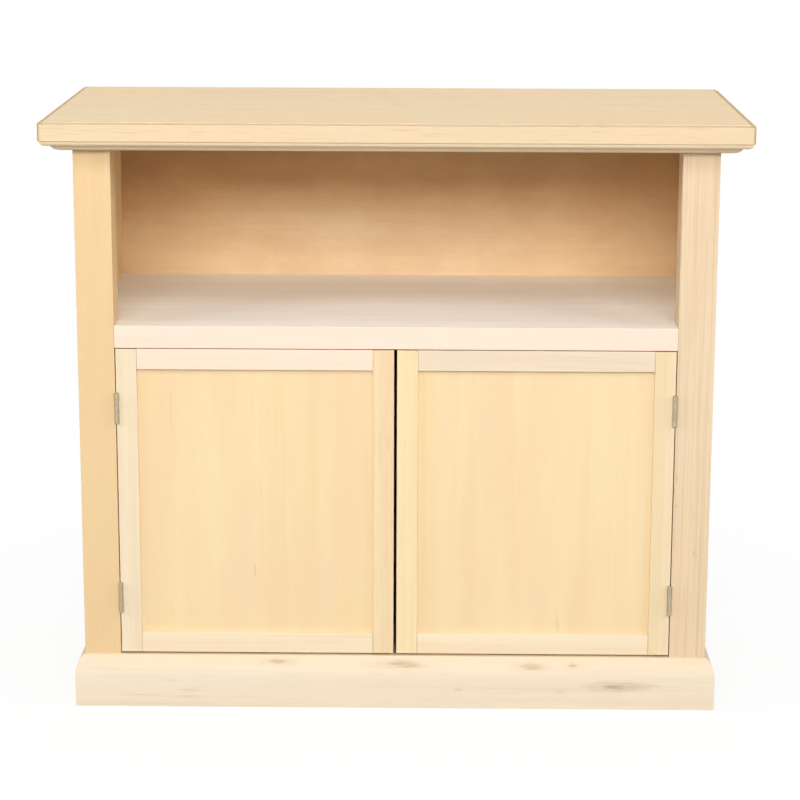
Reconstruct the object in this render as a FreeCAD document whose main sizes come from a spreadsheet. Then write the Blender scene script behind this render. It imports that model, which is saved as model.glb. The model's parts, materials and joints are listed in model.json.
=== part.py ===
import FreeCAD, Part
import math
import os
import re

import Sketcher

# A TV cabinet of raw pale wood: moulded top, open niche over a cupboard with two
# frame-and-panel doors on butt hinges, and a moulded plinth round three sides.
# Millimetres. The origin is on the floor under the middle of the top, the front
# faces -Y, +X is to the right of someone who looks at the doors, and +Z is up.

SIZES = {
    # top board and its moulded edge
    "top_width": 900,
    "top_depth": 428,
    "total_height": 780,
    "top_thick": 25,
    "edge_round": 2.5,
    "edge_ledge": 2.5,
    "edge_step": 1.5,
    "edge_under": 1.5,
    "overhang": 39,
    "rear_overhang": 2,
    # moulding under the top: a fillet, a small ovolo, a step, a wide ovolo and a toe
    "mould_inset": 2.5,
    "mould_fillet": 1.2,
    "ovolo_run": 6.5,
    "ovolo_rise": 4.8,
    "mould_step": 5.5,
    "mould_quirk": 0.5,
    "wide_run": 10,
    "wide_rise": 6.2,
    "mould_toe": 0.5,
    # carcass
    "post_face": 47.5,
    "post_depth": 48,
    "side_thick": 14,
    "tongue_thick": 6,
    "tongue_length": 8,
    "tongue_room": 0.5,
    "back_thick": 4,
    "back_inset": 2,
    "shelf_height": 513,
    "shelf_thick": 18,
    "shelf_rail_height": 29.1,
    "rail_thick": 20,
    "floor_thick": 16,
    "cleat_size": 18,
    # plinth
    "plinth_height": 69,
    "plinth_thick": 12.5,
    "plinth_flat": 2,
    "plinth_curve": 26,
    # doors
    "door_thick": 20,
    "gap_top": 1.2,
    "gap_bottom": 3,
    "gap_side": 1.2,
    "gap_middle": 4,
    "stile_width": 27,
    "rail_width": 27,
    "panel_thick": 6,
    "panel_recess": 5.5,
    "groove_depth": 8,
    "groove_room": 1,
    # butt hinges
    "hinge_height": 40,
    "hinge_from_top": 58,
    "hinge_from_bottom": 56,
    "barrel_radius": 3,
    "barrel_room": 0.4,
    "knuckle_gap": 0.3,
    "axis_inset": 1.8,
    "pin_radius": 1.35,
    "pin_room": 0.05,
    "pin_head_radius": 2.5,
    "pin_head_height": 1,
    "leaf_thick": 1,
    "leaf_width": 14,
    "leaf_mortise": 0.6,
    # magnetic catches
    "catch_from_middle": 24,
    "catch_width": 40,
    "catch_body_width": 25,
    "catch_depth": 12,
    "catch_height": 13,
    "catch_ear": 3,
    "catch_gap": 0.5,
    "catch_block_width": 110,
    "catch_block_depth": 40,
    "magnet_width": 18,
    "magnet_depth": 9,
    "magnet_height": 7,
    "magnet_proud": 0.5,
    "strike_width": 22,
    "strike_height": 12,
    "strike_thick": 0.8,
    "strike_edge": 2,
    # fasteners
    "hinge_screw_radius": 1.25,
    "hinge_screw_head": 2.4,
    "hinge_screw_length": 14,
    "hinge_screw_end": 8,
    "cleat_screw_radius": 1.75,
    "cleat_screw_head": 3.6,
    "cleat_screw_length": 26,
    "cleat_screw_end": 60,
    "top_screw_length": 32,
    "top_screw_end": 110,
    "catch_screw_length": 12,
    "catch_screw_end": 3.75,
    "strike_screw_length": 6,
    "screw_tip": 3,
    "recess_width": 0.6,
    "recess_depth": 0.7,
    "nail_radius": 0.8,
    "nail_head": 2.2,
    "nail_head_height": 0.8,
    "nail_length": 18,
    "nail_end": 45,
    "dowel_radius": 4,
    "dowel_length": 30,
    "dowel_pitch": 14,
    "dowel_chamfer": 0.8,
}

# Places that follow from the sizes.
PLACES = {
    "top_front": "-top_depth / 2",
    "top_under": "total_height - top_thick",
    "edge_inset": "edge_ledge + edge_round",
    "front_y": "top_front + overhang",
    "rear_y": "top_depth / 2 - rear_overhang",
    "carcass_rear": "rear_y - back_thick",
    "base_half": "top_width / 2 - overhang",
    "inner_half": "base_half - post_face",
    "side_half": "base_half - side_thick",
    "post_rear": "front_y + post_depth",
    "rail_rear": "front_y + rail_thick",
    "notch": "post_face - side_thick",
    "shelf_under": "shelf_height - shelf_thick",
    "rail_under": "shelf_height - shelf_rail_height",
    "floor_under": "plinth_height - floor_thick",
    "mould_width": "overhang - mould_inset",
    "mould_half": "top_width / 2 - mould_inset",
    "mould_front": "top_front + mould_inset",
    "wide_top": "mould_toe + wide_rise",
    "wide_radius": "(wide_run * wide_run + wide_rise * wide_rise) / (2 * wide_rise)",
    "wide_centre": "mould_toe + wide_radius",
    "ovolo_low": "wide_top + mould_quirk",
    "ovolo_top": "ovolo_low + ovolo_rise",
    "ovolo_radius": "(ovolo_run * ovolo_run + ovolo_rise * ovolo_rise) / (2 * ovolo_rise)",
    "ovolo_centre": "ovolo_low + ovolo_radius",
    "mould_height": "ovolo_top + mould_fillet",
    "mould_under": "top_under - mould_height",
    "step_in": "ovolo_run + mould_step",
    "toe_in": "step_in + wide_run",
    "plinth_half": "base_half + plinth_thick",
    "plinth_front_y": "front_y - plinth_thick",
    "curve_run": "plinth_thick - plinth_flat",
    "curve_radius": "(curve_run * curve_run + plinth_curve * plinth_curve) / (2 * curve_run)",
    "curve_start": "plinth_height - plinth_curve",
    "door_bottom": "plinth_height + gap_bottom",
    "door_top": "rail_under - gap_top",
    "door_height": "door_top - door_bottom",
    "door_rear": "front_y + door_thick",
    "hinge_edge": "inner_half - gap_side",
    "lock_edge": "gap_middle / 2",
    "hinge_stile_in": "hinge_edge - stile_width",
    "lock_stile_in": "lock_edge + stile_width",
    "rail_length": "hinge_stile_in - lock_stile_in",
    "tenon": "groove_depth - groove_room",
    "panel_back": "panel_recess + panel_thick",
    "axis_x": "inner_half - axis_inset",
    "axis_y": "front_y - barrel_radius - barrel_room",
    "upper_hinge": "door_top - hinge_from_top - hinge_height",
    "lower_hinge": "door_bottom + hinge_from_bottom",
    "frame_leaf_x": "inner_half + leaf_mortise - leaf_thick",
    "door_leaf_x": "hinge_edge - leaf_mortise",
    "strike_top": "door_top - strike_edge",
    "pole_y": "door_rear + strike_thick + catch_gap",
    "catch_y": "pole_y + magnet_proud",
    "catch_under": "rail_under - catch_height",
}

KNUCKLES = 5
NAILS_ON_SIDE = 6
NAILS_ON_BOARD = 3
SIDES = (("left", -1), ("right", 1))

doc = FreeCAD.newDocument("TvCabinet")
sheet = doc.addObject("Spreadsheet::Sheet", "Sizes")
for row, (alias, size) in enumerate(SIZES.items(), 1):
    sheet.set(f"A{row}", alias)
    sheet.set(f"B{row}", str(size))
    sheet.setAlias(f"B{row}", alias)
doc.recompute()

nodes = []
pockets = []


def ex(text):
    """Expression for the document: every place spelled out, every size read from the sheet."""
    def spell(match):
        word = match.group(0)
        if word in PLACES:
            return f"({ex(PLACES[word])})"
        if word in SIZES:
            return f"Sizes.{word}"
        return word
    return re.sub(r"[a-z][a-z_]+", spell, str(text))


def val(text):
    return float(sheet.evalExpression(ex(text)))


def bind(obj, **values):
    for name, text in values.items():
        obj.setExpression(name, ex(text))


def place(obj, x, y, z):
    for axis, text in zip("xyz", (x, y, z)):
        obj.setExpression(f"Placement.Base.{axis}", ex(text))
    return obj


def keep(label, obj):
    """Make the object a sub-part under this name."""
    obj.Label = label
    nodes.append(obj)
    return obj


def span(sign, low, high):
    """Limits along X for a piece on the left (-1) or right (+1) of the middle."""
    return (low, high) if sign > 0 else (f"-({high})", f"-({low})")


def box(name, x, y, z):
    block = doc.addObject("Part::Box", name)
    for prop, (low, high) in zip(("Length", "Width", "Height"), (x, y, z)):
        block.setExpression(prop, ex(f"({high}) - ({low})"))
    return place(block, x[0], y[0], z[0])


def cylinder(name, radius, x, y, z):
    rod = doc.addObject("Part::Cylinder", name)
    bind(rod, Radius=radius, Height=f"({z[1]}) - ({z[0]})")
    return place(rod, x, y, z[0])


def fuse(name, shapes):
    joined = doc.addObject("Part::MultiFuse", name)
    joined.Shapes = shapes
    return joined


def cut(name, base, *tools):
    tool = tools[0]
    if len(tools) > 1:
        tool = doc.addObject("Part::Compound", name + "_tools")
        tool.Links = list(tools)
    result = doc.addObject("Part::Cut", name)
    result.Base = base
    result.Tool = tool
    return result


# Sketches, pads and pockets of the bodies. A loop is a list of corners (u, v) in
# expressions; a third entry is the centre of the arc that leaves that corner.

def sketch(body, role, loops, offset=None):
    drawn = body.newObject("Sketcher::SketchObject", f"{body.Name}_sketch")
    origin_plane = next(f for f in body.Origin.OriginFeatures if f.Role == role)
    drawn.AttachmentSupport = [(origin_plane, "")]
    drawn.MapMode = "FlatFace"
    if offset:
        drawn.setExpression("AttachmentOffset.Base.z", ex(offset))
    for loop in loops:
        add_loop(drawn, loop)
    return drawn


def add_loop(drawn, loop):
    points = [FreeCAD.Vector(val(corner[0]), val(corner[1]), 0) for corner in loop]
    starts, ends = [], []
    for i, corner in enumerate(loop):
        first, last = points[i], points[(i + 1) % len(loop)]
        if len(corner) == 2:
            edge = drawn.addGeometry(Part.LineSegment(first, last), False)
            starts.append((edge, 1))
            ends.append((edge, 2))
            continue
        middle = FreeCAD.Vector(val(corner[2][0]), val(corner[2][1]), 0)
        turns_left = (first - middle).cross(last - middle).z > 0
        begin, finish = (first, last) if turns_left else (last, first)
        low = math.atan2(begin.y - middle.y, begin.x - middle.x)
        high = math.atan2(finish.y - middle.y, finish.x - middle.x)
        if high < low:
            high += 2 * math.pi
        circle = Part.Circle(middle, FreeCAD.Vector(0, 0, 1), (first - middle).Length)
        edge = drawn.addGeometry(Part.ArcOfCircle(circle, low, high), False)
        starts.append((edge, 1 if turns_left else 2))
        ends.append((edge, 2 if turns_left else 1))
        rule = drawn.addConstraint(Sketcher.Constraint("Radius", edge, circle.Radius))
        run = f"({corner[0]}) - ({corner[2][0]})"
        rise = f"({corner[1]}) - ({corner[2][1]})"
        drawn.setExpression(f"Constraints[{rule}]", ex(f"sqrt(({run})^2 + ({rise})^2)"))
    for i, corner in enumerate(loop):
        drawn.addConstraint(Sketcher.Constraint("Coincident", *ends[i - 1], *starts[i]))
        for kind, axis, text, number in (
            ("DistanceX", -2, corner[0], points[i].x),
            ("DistanceY", -1, corner[1], points[i].y),
        ):
            if text == "0":
                drawn.addConstraint(Sketcher.Constraint("PointOnObject", *starts[i], axis))
                continue
            rule = drawn.addConstraint(Sketcher.Constraint(kind, -1, 1, *starts[i], number))
            drawn.setExpression(f"Constraints[{rule}]", ex(text))


def pad(body, drawn, length, backwards=False):
    added = body.newObject("PartDesign::Pad", f"{body.Name}_pad")
    added.Profile = drawn
    added.Reversed = backwards
    bind(added, Length=length)
    return added


def pocket(body, drawn, depth=None, backwards=False):
    """Pocket of a depth, or right through both ways when no depth is given."""
    before = body.Tip
    removed = body.newObject("PartDesign::Pocket", f"{body.Name}_pocket")
    removed.Profile = drawn
    removed.Reversed = backwards
    if depth is None:
        removed.SideType = "Symmetric"
        removed.Type = "ThroughAll"
    else:
        bind(removed, Length=depth)
    pockets.append((before, removed))
    return removed


def new_body(name, x, y, z):
    return place(doc.addObject("PartDesign::Body", name), x, y, z)


def mirrored(loop, width):
    """The same loop with u counted from the other edge of the piece."""
    def flip(corner):
        turned = [f"{width} - ({corner[0]})" if corner[0] != width else "0", corner[1]]
        if len(corner) == 3:
            turned.append((f"{width} - ({corner[2][0]})", corner[2][1]))
        return tuple(turned)
    return [flip(corner) for corner in loop]


def rectangle(u, v):
    return [(u[0], v[0]), (u[1], v[0]), (u[1], v[1]), (u[0], v[1])]


# Fasteners are turned solids, many of them alike, so each group is one compound.

def turned(profile, point, direction):
    """Solid of revolution: (radius, distance) pairs along an axis from a point."""
    corners = [FreeCAD.Vector(radius, 0, along) for radius, along in profile]
    face = Part.Face(Part.makePolygon(corners + corners[:1]))
    solid = face.revolve(FreeCAD.Vector(0, 0, 0), FreeCAD.Vector(0, 0, 1), 360)
    rotation = FreeCAD.Rotation(FreeCAD.Vector(0, 0, 1), direction)
    solid.Placement = FreeCAD.Placement(point, rotation)
    return Part.Solid(solid) if solid.ShapeType == "Shell" else solid


def screw(radius, head, length, point, direction, recessed):
    """Countersunk screw, its head level with the point; the recess is a cross."""
    flare = head - radius
    profile = [(0, 0), (head, 0), (radius, flare), (radius, length - val("screw_tip")), (0, length)]
    solid = turned(profile, point, direction)
    if not recessed:
        return solid
    wide, deep, reach = val("recess_width"), val("recess_depth"), 1.3 * head
    bars = [
        Part.makeBox(a, b, deep, FreeCAD.Vector(-a / 2, -b / 2, 0))
        for a, b in ((wide, reach), (reach, wide))
    ]
    cross = bars[0].fuse(bars[1])
    cross.Placement = FreeCAD.Placement(point, FreeCAD.Rotation(FreeCAD.Vector(0, 0, 1), direction))
    return solid.cut(cross).Solids[0]


def group(label, solids):
    feature = doc.addObject("Part::Feature", label)
    feature.Shape = Part.makeCompound(solids)
    return feature


def screws(label, kind, seats):
    """Sub-part of screws, and the room that the same screws take in what they hold."""
    radius, head = val(f"{kind}_screw_radius"), val(f"{kind}_screw_head")
    solids, rooms = [], []
    for point, direction, length in seats:
        solids.append(screw(radius, head, length, point, direction, True))
        rooms.append(screw(radius, head, length, point, direction, False))
    keep(label, group(label, solids))
    return group(label + "_room", rooms)


def at(x, y, z):
    return FreeCAD.Vector(val(x), val(y), val(z))


def along(x=0, y=0, z=0):
    return FreeCAD.Vector(x, y, z)


def hinge_screw_seats(sign, x, inward):
    seats = []
    for low in ("upper_hinge", "lower_hinge"):
        for height in (f"{low} + hinge_screw_end", f"{low} + hinge_height - hinge_screw_end"):
            point = at(f"{sign} * ({x})", "front_y + leaf_width / 2", height)
            seats.append((point, along(x=inward), val("hinge_screw_length")))
    return seats


def make_hinge_screws():
    frame_seats = []
    for side, sign in SIDES:
        frame_seats += hinge_screw_seats(sign, "frame_leaf_x", sign)
    rooms = {"frame": screws("hinge_screws_frame", "hinge", frame_seats)}
    for side, sign in SIDES:
        seats = hinge_screw_seats(sign, "door_leaf_x + leaf_thick", -sign)
        rooms[side] = screws(f"hinge_screws_{side}_door", "hinge", seats)
    return rooms


CLEATS = {
    "top": ("top_under - cleat_size", "top_under"),
    "shelf": ("shelf_under - cleat_size", "shelf_under"),
    "floor": ("floor_under - cleat_size", "floor_under"),
}


def make_cleat_screws():
    """Screws through each cleat into the side, and up through the top cleats into the top."""
    flat_seats, upright_seats = [], []
    for side, sign in SIDES:
        for low, high in CLEATS.values():
            for y in ("post_rear + cleat_screw_end", "carcass_rear - cleat_screw_end"):
                point = at(f"{sign} * (side_half - cleat_size)", y, f"{low} + cleat_size / 2")
                flat_seats.append((point, along(x=sign), val("cleat_screw_length")))
        for y in ("post_rear + top_screw_end", "carcass_rear - top_screw_end"):
            point = at(f"{sign} * (side_half - cleat_size / 2)", y, "top_under - cleat_size")
            upright_seats.append((point, along(z=1), val("top_screw_length")))
    return screws("cleat_screws", "cleat", flat_seats), screws("top_screws", "cleat", upright_seats)


def make_catch_screws():
    seats = []
    for side, sign in SIDES:
        for end in ("catch_width / 2 - catch_screw_end", "catch_screw_end - catch_width / 2"):
            point = at(f"{sign} * catch_from_middle + {end}", "catch_y + catch_depth / 2",
                       "rail_under - catch_ear")
            seats.append((point, along(z=1), val("catch_screw_length")))
    rooms = {"catch": screws("catch_screws", "hinge", seats)}
    for side, sign in SIDES:
        point = at(f"{sign} * catch_from_middle", "door_rear + strike_thick",
                   "strike_top - strike_height / 2")
        seat = (point, along(y=-1), val("strike_screw_length"))
        rooms[side] = screws(f"strike_screw_{side}", "hinge", [seat])
    return rooms


def make_nails():
    """Nails through the back panel into the sides, the shelf and the cupboard floor."""
    radius, head, thick = val("nail_radius"), val("nail_head"), val("nail_head_height")
    profile = [(0, -thick), (head, -thick), (head, 0), (radius, 0), (radius, val("nail_length")),
               (0, val("nail_length") + 2 * radius)]
    spots = []
    low, high = val("plinth_height + nail_end"), val("top_under - nail_end")
    for side, sign in SIDES:
        for i in range(NAILS_ON_SIDE):
            height = low + (high - low) * i / (NAILS_ON_SIDE - 1)
            spots.append((sign * val("base_half - side_thick / 2"), height))
    reach = val("inner_half - 2 * nail_end")
    for height in ("shelf_height - shelf_thick / 2", "plinth_height - floor_thick / 2"):
        for i in range(NAILS_ON_BOARD):
            spots.append((reach * (2 * i / (NAILS_ON_BOARD - 1) - 1), val(height)))
    solids = [
        turned(profile, FreeCAD.Vector(x, val("rear_y"), z), along(y=-1)) for x, z in spots
    ]
    return keep("back_nails", group("back_nails", solids))


def make_dowels():
    """Two dowels at each end of the shelf rail and of the base rail, half in the post."""
    radius, length, slope = val("dowel_radius"), val("dowel_length"), val("dowel_chamfer")
    profile = [(0, 0), (radius - slope, 0), (radius, slope), (radius, length - slope),
               (radius - slope, length), (0, length)]
    solids = []
    for side, sign in SIDES:
        for centre in ("rail_under + shelf_rail_height / 2", "floor_under / 2"):
            for height in (f"{centre} - dowel_pitch / 2", f"{centre} + dowel_pitch / 2"):
                point = at(f"{sign} * (inner_half - dowel_length / 2)",
                           "front_y + rail_thick / 2", height)
                solids.append(turned(profile, point, along(x=sign)))
    return keep("rail_dowels", group("rail_dowels", solids))


def make_pins():
    """Hinge pins, each with a low head at both ends of the barrel."""
    radius, head, cap = val("pin_radius"), val("pin_head_radius"), val("pin_head_height")
    length = val("hinge_height")
    profile = [(0, -cap), (head - cap, -cap), (head, 0), (radius, 0), (radius, length),
               (head, length), (head - cap, length + cap), (0, length + cap)]
    solids = [
        turned(profile, at(f"{sign} * axis_x", "axis_y", low), along(z=1))
        for side, sign in SIDES for low in ("upper_hinge", "lower_hinge")
    ]
    return keep("hinge_pins", group("hinge_pins", solids))


hinge_room = make_hinge_screws()
cleat_room, top_room = make_cleat_screws()
catch_room = make_catch_screws()
nails = make_nails()
dowels = make_dowels()
make_pins()


# Top board: a step, a ledge and a round along the upper edge, a small round below.

def edge_loops():
    shoulder = "top_thick - edge_step"
    waist = "top_thick - edge_step - edge_round"
    upper = [("0", "top_thick"), ("edge_inset", "top_thick"), ("edge_inset", shoulder),
             ("edge_round", shoulder, ("edge_round", waist)), ("0", waist)]
    lower = [("0", "0"), ("0", "edge_under", ("edge_under", "edge_under")), ("edge_under", "0")]
    return [upper, lower]


def make_top_board():
    body = new_body("top_blank", "-top_width / 2", "top_front", "top_under")
    outline = rectangle(("0", "top_width"), ("0", "top_depth"))
    pad(body, sketch(body, "XY_Plane", [outline]), "top_thick")
    pocket(body, sketch(body, "YZ_Plane", edge_loops()))
    ends = edge_loops() + [mirrored(loop, "top_width") for loop in edge_loops()]
    pocket(body, sketch(body, "XZ_Plane", ends))
    keep("top_board", cut("top_board", body, top_room))


# Strips that run round the front and both sides and meet in mitres at the front.

def front_strip(label, section, width, half, front, low):
    body = new_body(label + "_body", f"-({half})", front, low)
    length = f"2 * ({half})"
    pad(body, sketch(body, "YZ_Plane", [section]), length)
    left = [("0", "0"), (width, width), ("0", width)]
    right = [(length, "0"), (length, width), (f"{length} - {width}", width)]
    pocket(body, sketch(body, "XY_Plane", [left, right]))
    keep(label, body)


def side_strip(label, sign, section, width, inner, front, low):
    start = inner if sign > 0 else f"-({inner} + {width})"
    body = new_body(label + "_body", start, front, low)
    shape = section if sign < 0 else mirrored(section, width)
    pad(body, sketch(body, "XZ_Plane", [shape]), f"rear_y - ({front})", backwards=True)
    mitre = [("0", "0"), (width, "0"), (width, width)]
    pocket(body, sketch(body, "XY_Plane", [mitre if sign < 0 else mirrored(mitre, width)]))
    keep(label, body)


def make_mouldings():
    section = [("0", "mould_height"), ("0", "ovolo_top", ("ovolo_run", "ovolo_centre")),
               ("ovolo_run", "ovolo_low"), ("step_in", "ovolo_low"),
               ("step_in", "wide_top", ("toe_in", "wide_centre")), ("toe_in", "mould_toe"),
               ("toe_in", "0"), ("mould_width", "0"), ("mould_width", "mould_height")]
    front_strip("top_moulding_front", section, "mould_width", "mould_half", "mould_front",
                "mould_under")
    for side, sign in SIDES:
        side_strip(f"top_moulding_{side}", sign, section, "mould_width", "base_half",
                   "mould_front", "mould_under")


def make_plinth():
    section = [("0", "0"), ("plinth_thick", "0"), ("plinth_thick", "plinth_height"),
               ("curve_run", "plinth_height", ("curve_radius", "curve_start")),
               ("0", "curve_start")]
    front_strip("plinth_front", section, "plinth_thick", "plinth_half", "plinth_front_y", "0")
    for side, sign in SIDES:
        side_strip(f"plinth_{side}", sign, section, "plinth_thick", "base_half",
                   "plinth_front_y", "0")


def make_post(side, sign):
    """Front post: grooved behind for the side's tongue, let in for two hinge leaves."""
    body = new_body(f"post_{side}_blank", *(span(sign, "inner_half", "base_half")[0], "front_y", "0"))
    near = "(side_thick - tongue_thick) / 2"
    far = "(side_thick + tongue_thick) / 2"
    bottom = "post_depth - tongue_length - tongue_room"
    outline = [("0", "0"), ("post_face", "0"), ("post_face", "post_depth"), (far, "post_depth"),
               (far, bottom), (near, bottom), (near, "post_depth"), ("0", "post_depth")]
    if sign > 0:
        outline = mirrored(outline, "post_face")
        outline = [("post_face" if u == "post_face - (0)" else u, v) for u, v in outline]
    pad(body, sketch(body, "XY_Plane", [outline]), "top_under")
    seats = [rectangle(("0", "leaf_width"), (low, f"{low} + hinge_height"))
             for low in ("upper_hinge", "lower_hinge")]
    face = "post_face" if sign < 0 else None
    pocket(body, sketch(body, "YZ_Plane", seats, face), "leaf_mortise", backwards=sign > 0)
    keep(f"post_{side}", cut(f"post_{side}", body, hinge_room["frame"], dowels))


def make_side(side, sign):
    start = span(sign, "side_half", "base_half")[0]
    body = new_body(f"side_{side}_blank", start, "post_rear - tongue_length", "0")
    near = "(side_thick - tongue_thick) / 2"
    far = "(side_thick + tongue_thick) / 2"
    end = "tongue_length + carcass_rear - post_rear"
    outline = [(near, "0"), (far, "0"), (far, "tongue_length"), ("side_thick", "tongue_length"),
               ("side_thick", end), ("0", end), ("0", "tongue_length"), (near, "tongue_length")]
    pad(body, sketch(body, "XY_Plane", [outline]), "top_under")
    keep(f"side_{side}", cut(f"side_{side}", body, cleat_room, nails))


def make_board(label, front, low, thick):
    """Board from side to side, notched round the front posts."""
    body = new_body(label + "_blank", "-side_half", front, low)
    across, shoulder, depth = "2 * side_half", f"post_rear - ({front})", f"carcass_rear - ({front})"
    outline = [("notch", "0"), (f"{across} - notch", "0"), (f"{across} - notch", shoulder),
               (across, shoulder), (across, depth), ("0", depth), ("0", shoulder),
               ("notch", shoulder)]
    pad(body, sketch(body, "XY_Plane", [outline]), thick)
    keep(label, cut(label, body, nails))


def make_carcass():
    make_top_board()
    make_mouldings()
    make_plinth()
    make_board("shelf_board", "rail_rear", "shelf_under", "shelf_thick")
    make_board("floor_board", "front_y", "floor_under", "floor_thick")
    between = ("-inner_half", "inner_half")
    shelf_rail = box("shelf_rail_blank", between, ("front_y", "rail_rear"),
                     ("rail_under", "shelf_height"))
    keep("shelf_rail", cut("shelf_rail", shelf_rail, dowels))
    base_rail = box("base_rail_blank", between, ("front_y", "rail_rear"), ("0", "floor_under"))
    keep("base_rail", cut("base_rail", base_rail, dowels))
    back = box("back_blank", ("back_inset - base_half", "base_half - back_inset"),
               ("carcass_rear", "rear_y"), ("floor_under", "top_under"))
    keep("back_panel", cut("back_panel", back, nails))
    for side, sign in SIDES:
        make_post(side, sign)
        make_side(side, sign)
        for level, height in CLEATS.items():
            name = f"cleat_{level}_{side}"
            cleat = box(name + "_blank", span(sign, "side_half - cleat_size", "side_half"),
                        ("post_rear", "carcass_rear"), height)
            rooms = (cleat_room, top_room) if level == "top" else (cleat_room,)
            keep(name, cut(name, cleat, *rooms))


# Doors: stiles grooved along the inner edge, rails with stub tenons, a flat panel.

def make_stile(label, sign, edges, groove_high, rooms, hinged):
    body = new_body(label + "_blank", span(sign, *edges)[0], "front_y", "door_bottom")
    bottom = "stile_width - groove_depth"
    outline = [("0", "0"), ("stile_width", "0"), ("stile_width", "panel_recess"),
               (bottom, "panel_recess"), (bottom, "panel_back"), ("stile_width", "panel_back"),
               ("stile_width", "door_thick"), ("0", "door_thick")]
    if not groove_high:
        outline = mirrored(outline, "stile_width")
        outline = [("stile_width" if u == "stile_width - (0)" else u, v) for u, v in outline]
    pad(body, sketch(body, "XY_Plane", [outline]), "door_height")
    if hinged:
        seats = [rectangle(("0", "leaf_width"), (f"{low} - door_bottom",
                                                f"{low} - door_bottom + hinge_height"))
                 for low in ("upper_hinge", "lower_hinge")]
        face = None if groove_high else "stile_width"
        pocket(body, sketch(body, "YZ_Plane", seats, face), "leaf_mortise", backwards=groove_high)
    keep(label, cut(label, body, rooms))


def make_rail(label, start, low, groove_up):
    body = new_body(label + "_body", start, "front_y", low)
    shoulder = "rail_width - groove_depth"
    section = [("0", "0"), ("door_thick", "0"), ("door_thick", "rail_width"),
               ("panel_back", "rail_width"), ("panel_back", shoulder),
               ("panel_recess", shoulder), ("panel_recess", "rail_width"), ("0", "rail_width")]
    tongue = ("0", shoulder)
    if not groove_up:
        section = [("0", "0"), ("panel_recess", "0"), ("panel_recess", "groove_depth"),
                   ("panel_back", "groove_depth"), ("panel_back", "0"), ("door_thick", "0"),
                   ("door_thick", "rail_width"), ("0", "rail_width")]
        tongue = ("groove_depth", "rail_width")
    pad(body, sketch(body, "YZ_Plane", [section], "tenon"), "rail_length")
    tenons = rectangle(("panel_recess", "panel_back"), tongue)
    pad(body, sketch(body, "YZ_Plane", [tenons]), "rail_length + 2 * tenon")
    keep(label, body)


def make_door(side, sign):
    make_stile(f"{side}_door_hinge_stile", sign, ("hinge_stile_in", "hinge_edge"), sign < 0,
               hinge_room[side], True)
    make_stile(f"{side}_door_lock_stile", sign, ("lock_edge", "lock_stile_in"), sign > 0,
               catch_room[side], False)
    rails = span(sign, "lock_stile_in - tenon", "hinge_stile_in + tenon")
    make_rail(f"{side}_door_top_rail", rails[0], "door_top - rail_width", False)
    make_rail(f"{side}_door_bottom_rail", rails[0], "door_bottom", True)
    panel = box(f"{side}_panel_board", rails,
                ("front_y + panel_recess", "front_y + panel_back"),
                ("door_bottom + rail_width - tenon", "door_top - rail_width + tenon"))
    keep(f"{side}_door_panel", panel)
    strike = box(f"{side}_strike_blank",
                 span(sign, "catch_from_middle - strike_width / 2",
                      "catch_from_middle + strike_width / 2"),
                 ("door_rear", "door_rear + strike_thick"),
                 ("strike_top - strike_height", "strike_top"))
    keep(f"strike_plate_{side}", cut(f"strike_plate_{side}", strike, catch_room[side]))


# Butt hinges: the frame leaf holds the pin and the odd knuckles, the door leaf the rest.

def make_leaf(label, sign, low, plate_x, first, bore, room):
    plate = span(sign, plate_x, f"{plate_x} + leaf_thick")
    pieces = [box(label + "_plate", plate, ("front_y", "front_y + leaf_width"),
                  (low, f"{low} + hinge_height"))]
    pitch = f"((hinge_height + knuckle_gap) / {KNUCKLES})"
    for i in range(first, KNUCKLES, 2):
        height = (f"{low} + {i} * {pitch}", f"{low} + {i + 1} * {pitch} - knuckle_gap")
        pieces.append(box(f"{label}_finger_{i}", plate, ("axis_y", "front_y"), height))
        pieces.append(cylinder(f"{label}_knuckle_{i}", "barrel_radius", f"{sign} * axis_x",
                               "axis_y", height))
    solid = fuse(label + "_solid", pieces)
    hole = cylinder(label + "_bore", bore, f"{sign} * axis_x", "axis_y",
                    (low, f"{low} + hinge_height"))
    keep(label, cut(label, solid, hole, room))


def make_hinges():
    for side, sign in SIDES:
        for level, low in (("upper", "upper_hinge"), ("lower", "lower_hinge")):
            name = f"hinge_{side}_{level}"
            make_leaf(name + "_frame_leaf", sign, low, "frame_leaf_x", 0, "pin_radius",
                      hinge_room["frame"])
            make_leaf(name + "_door_leaf", sign, low, "door_leaf_x", 1, "pin_radius + pin_room",
                      hinge_room[side])


def make_catches():
    block = box("catch_block_blank", ("-catch_block_width / 2", "catch_block_width / 2"),
                ("rail_rear", "rail_rear + catch_block_depth"), ("rail_under", "shelf_under"))
    keep("catch_block", cut("catch_block", block, catch_room["catch"]))
    for side, sign in SIDES:
        middle = f"{sign} * catch_from_middle"

        def across(width):
            return (f"{middle} - {width} / 2", f"{middle} + {width} / 2")

        depth = ("catch_y", "catch_y + catch_depth")
        ears = box(f"catch_ears_{side}", across("catch_width"), depth,
                   ("rail_under - catch_ear", "rail_under"))
        shell = box(f"catch_shell_{side}", across("catch_body_width"), depth,
                    ("catch_under", "rail_under"))
        magnet_low = "catch_under + (catch_height - catch_ear - magnet_height) / 2"
        magnet = box(f"catch_magnet_{side}", across("magnet_width"),
                     ("pole_y", "pole_y + magnet_depth"),
                     (magnet_low, f"{magnet_low} + magnet_height"))
        keep(f"catch_magnet_{side}", magnet)
        housing = fuse(f"catch_solid_{side}", [ears, shell])
        name = f"catch_housing_{side}"
        keep(name, cut(name, housing, catch_room["catch"], magnet))


make_carcass()
for side, sign in SIDES:
    make_door(side, sign)
make_hinges()
make_catches()
doc.recompute()

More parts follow.
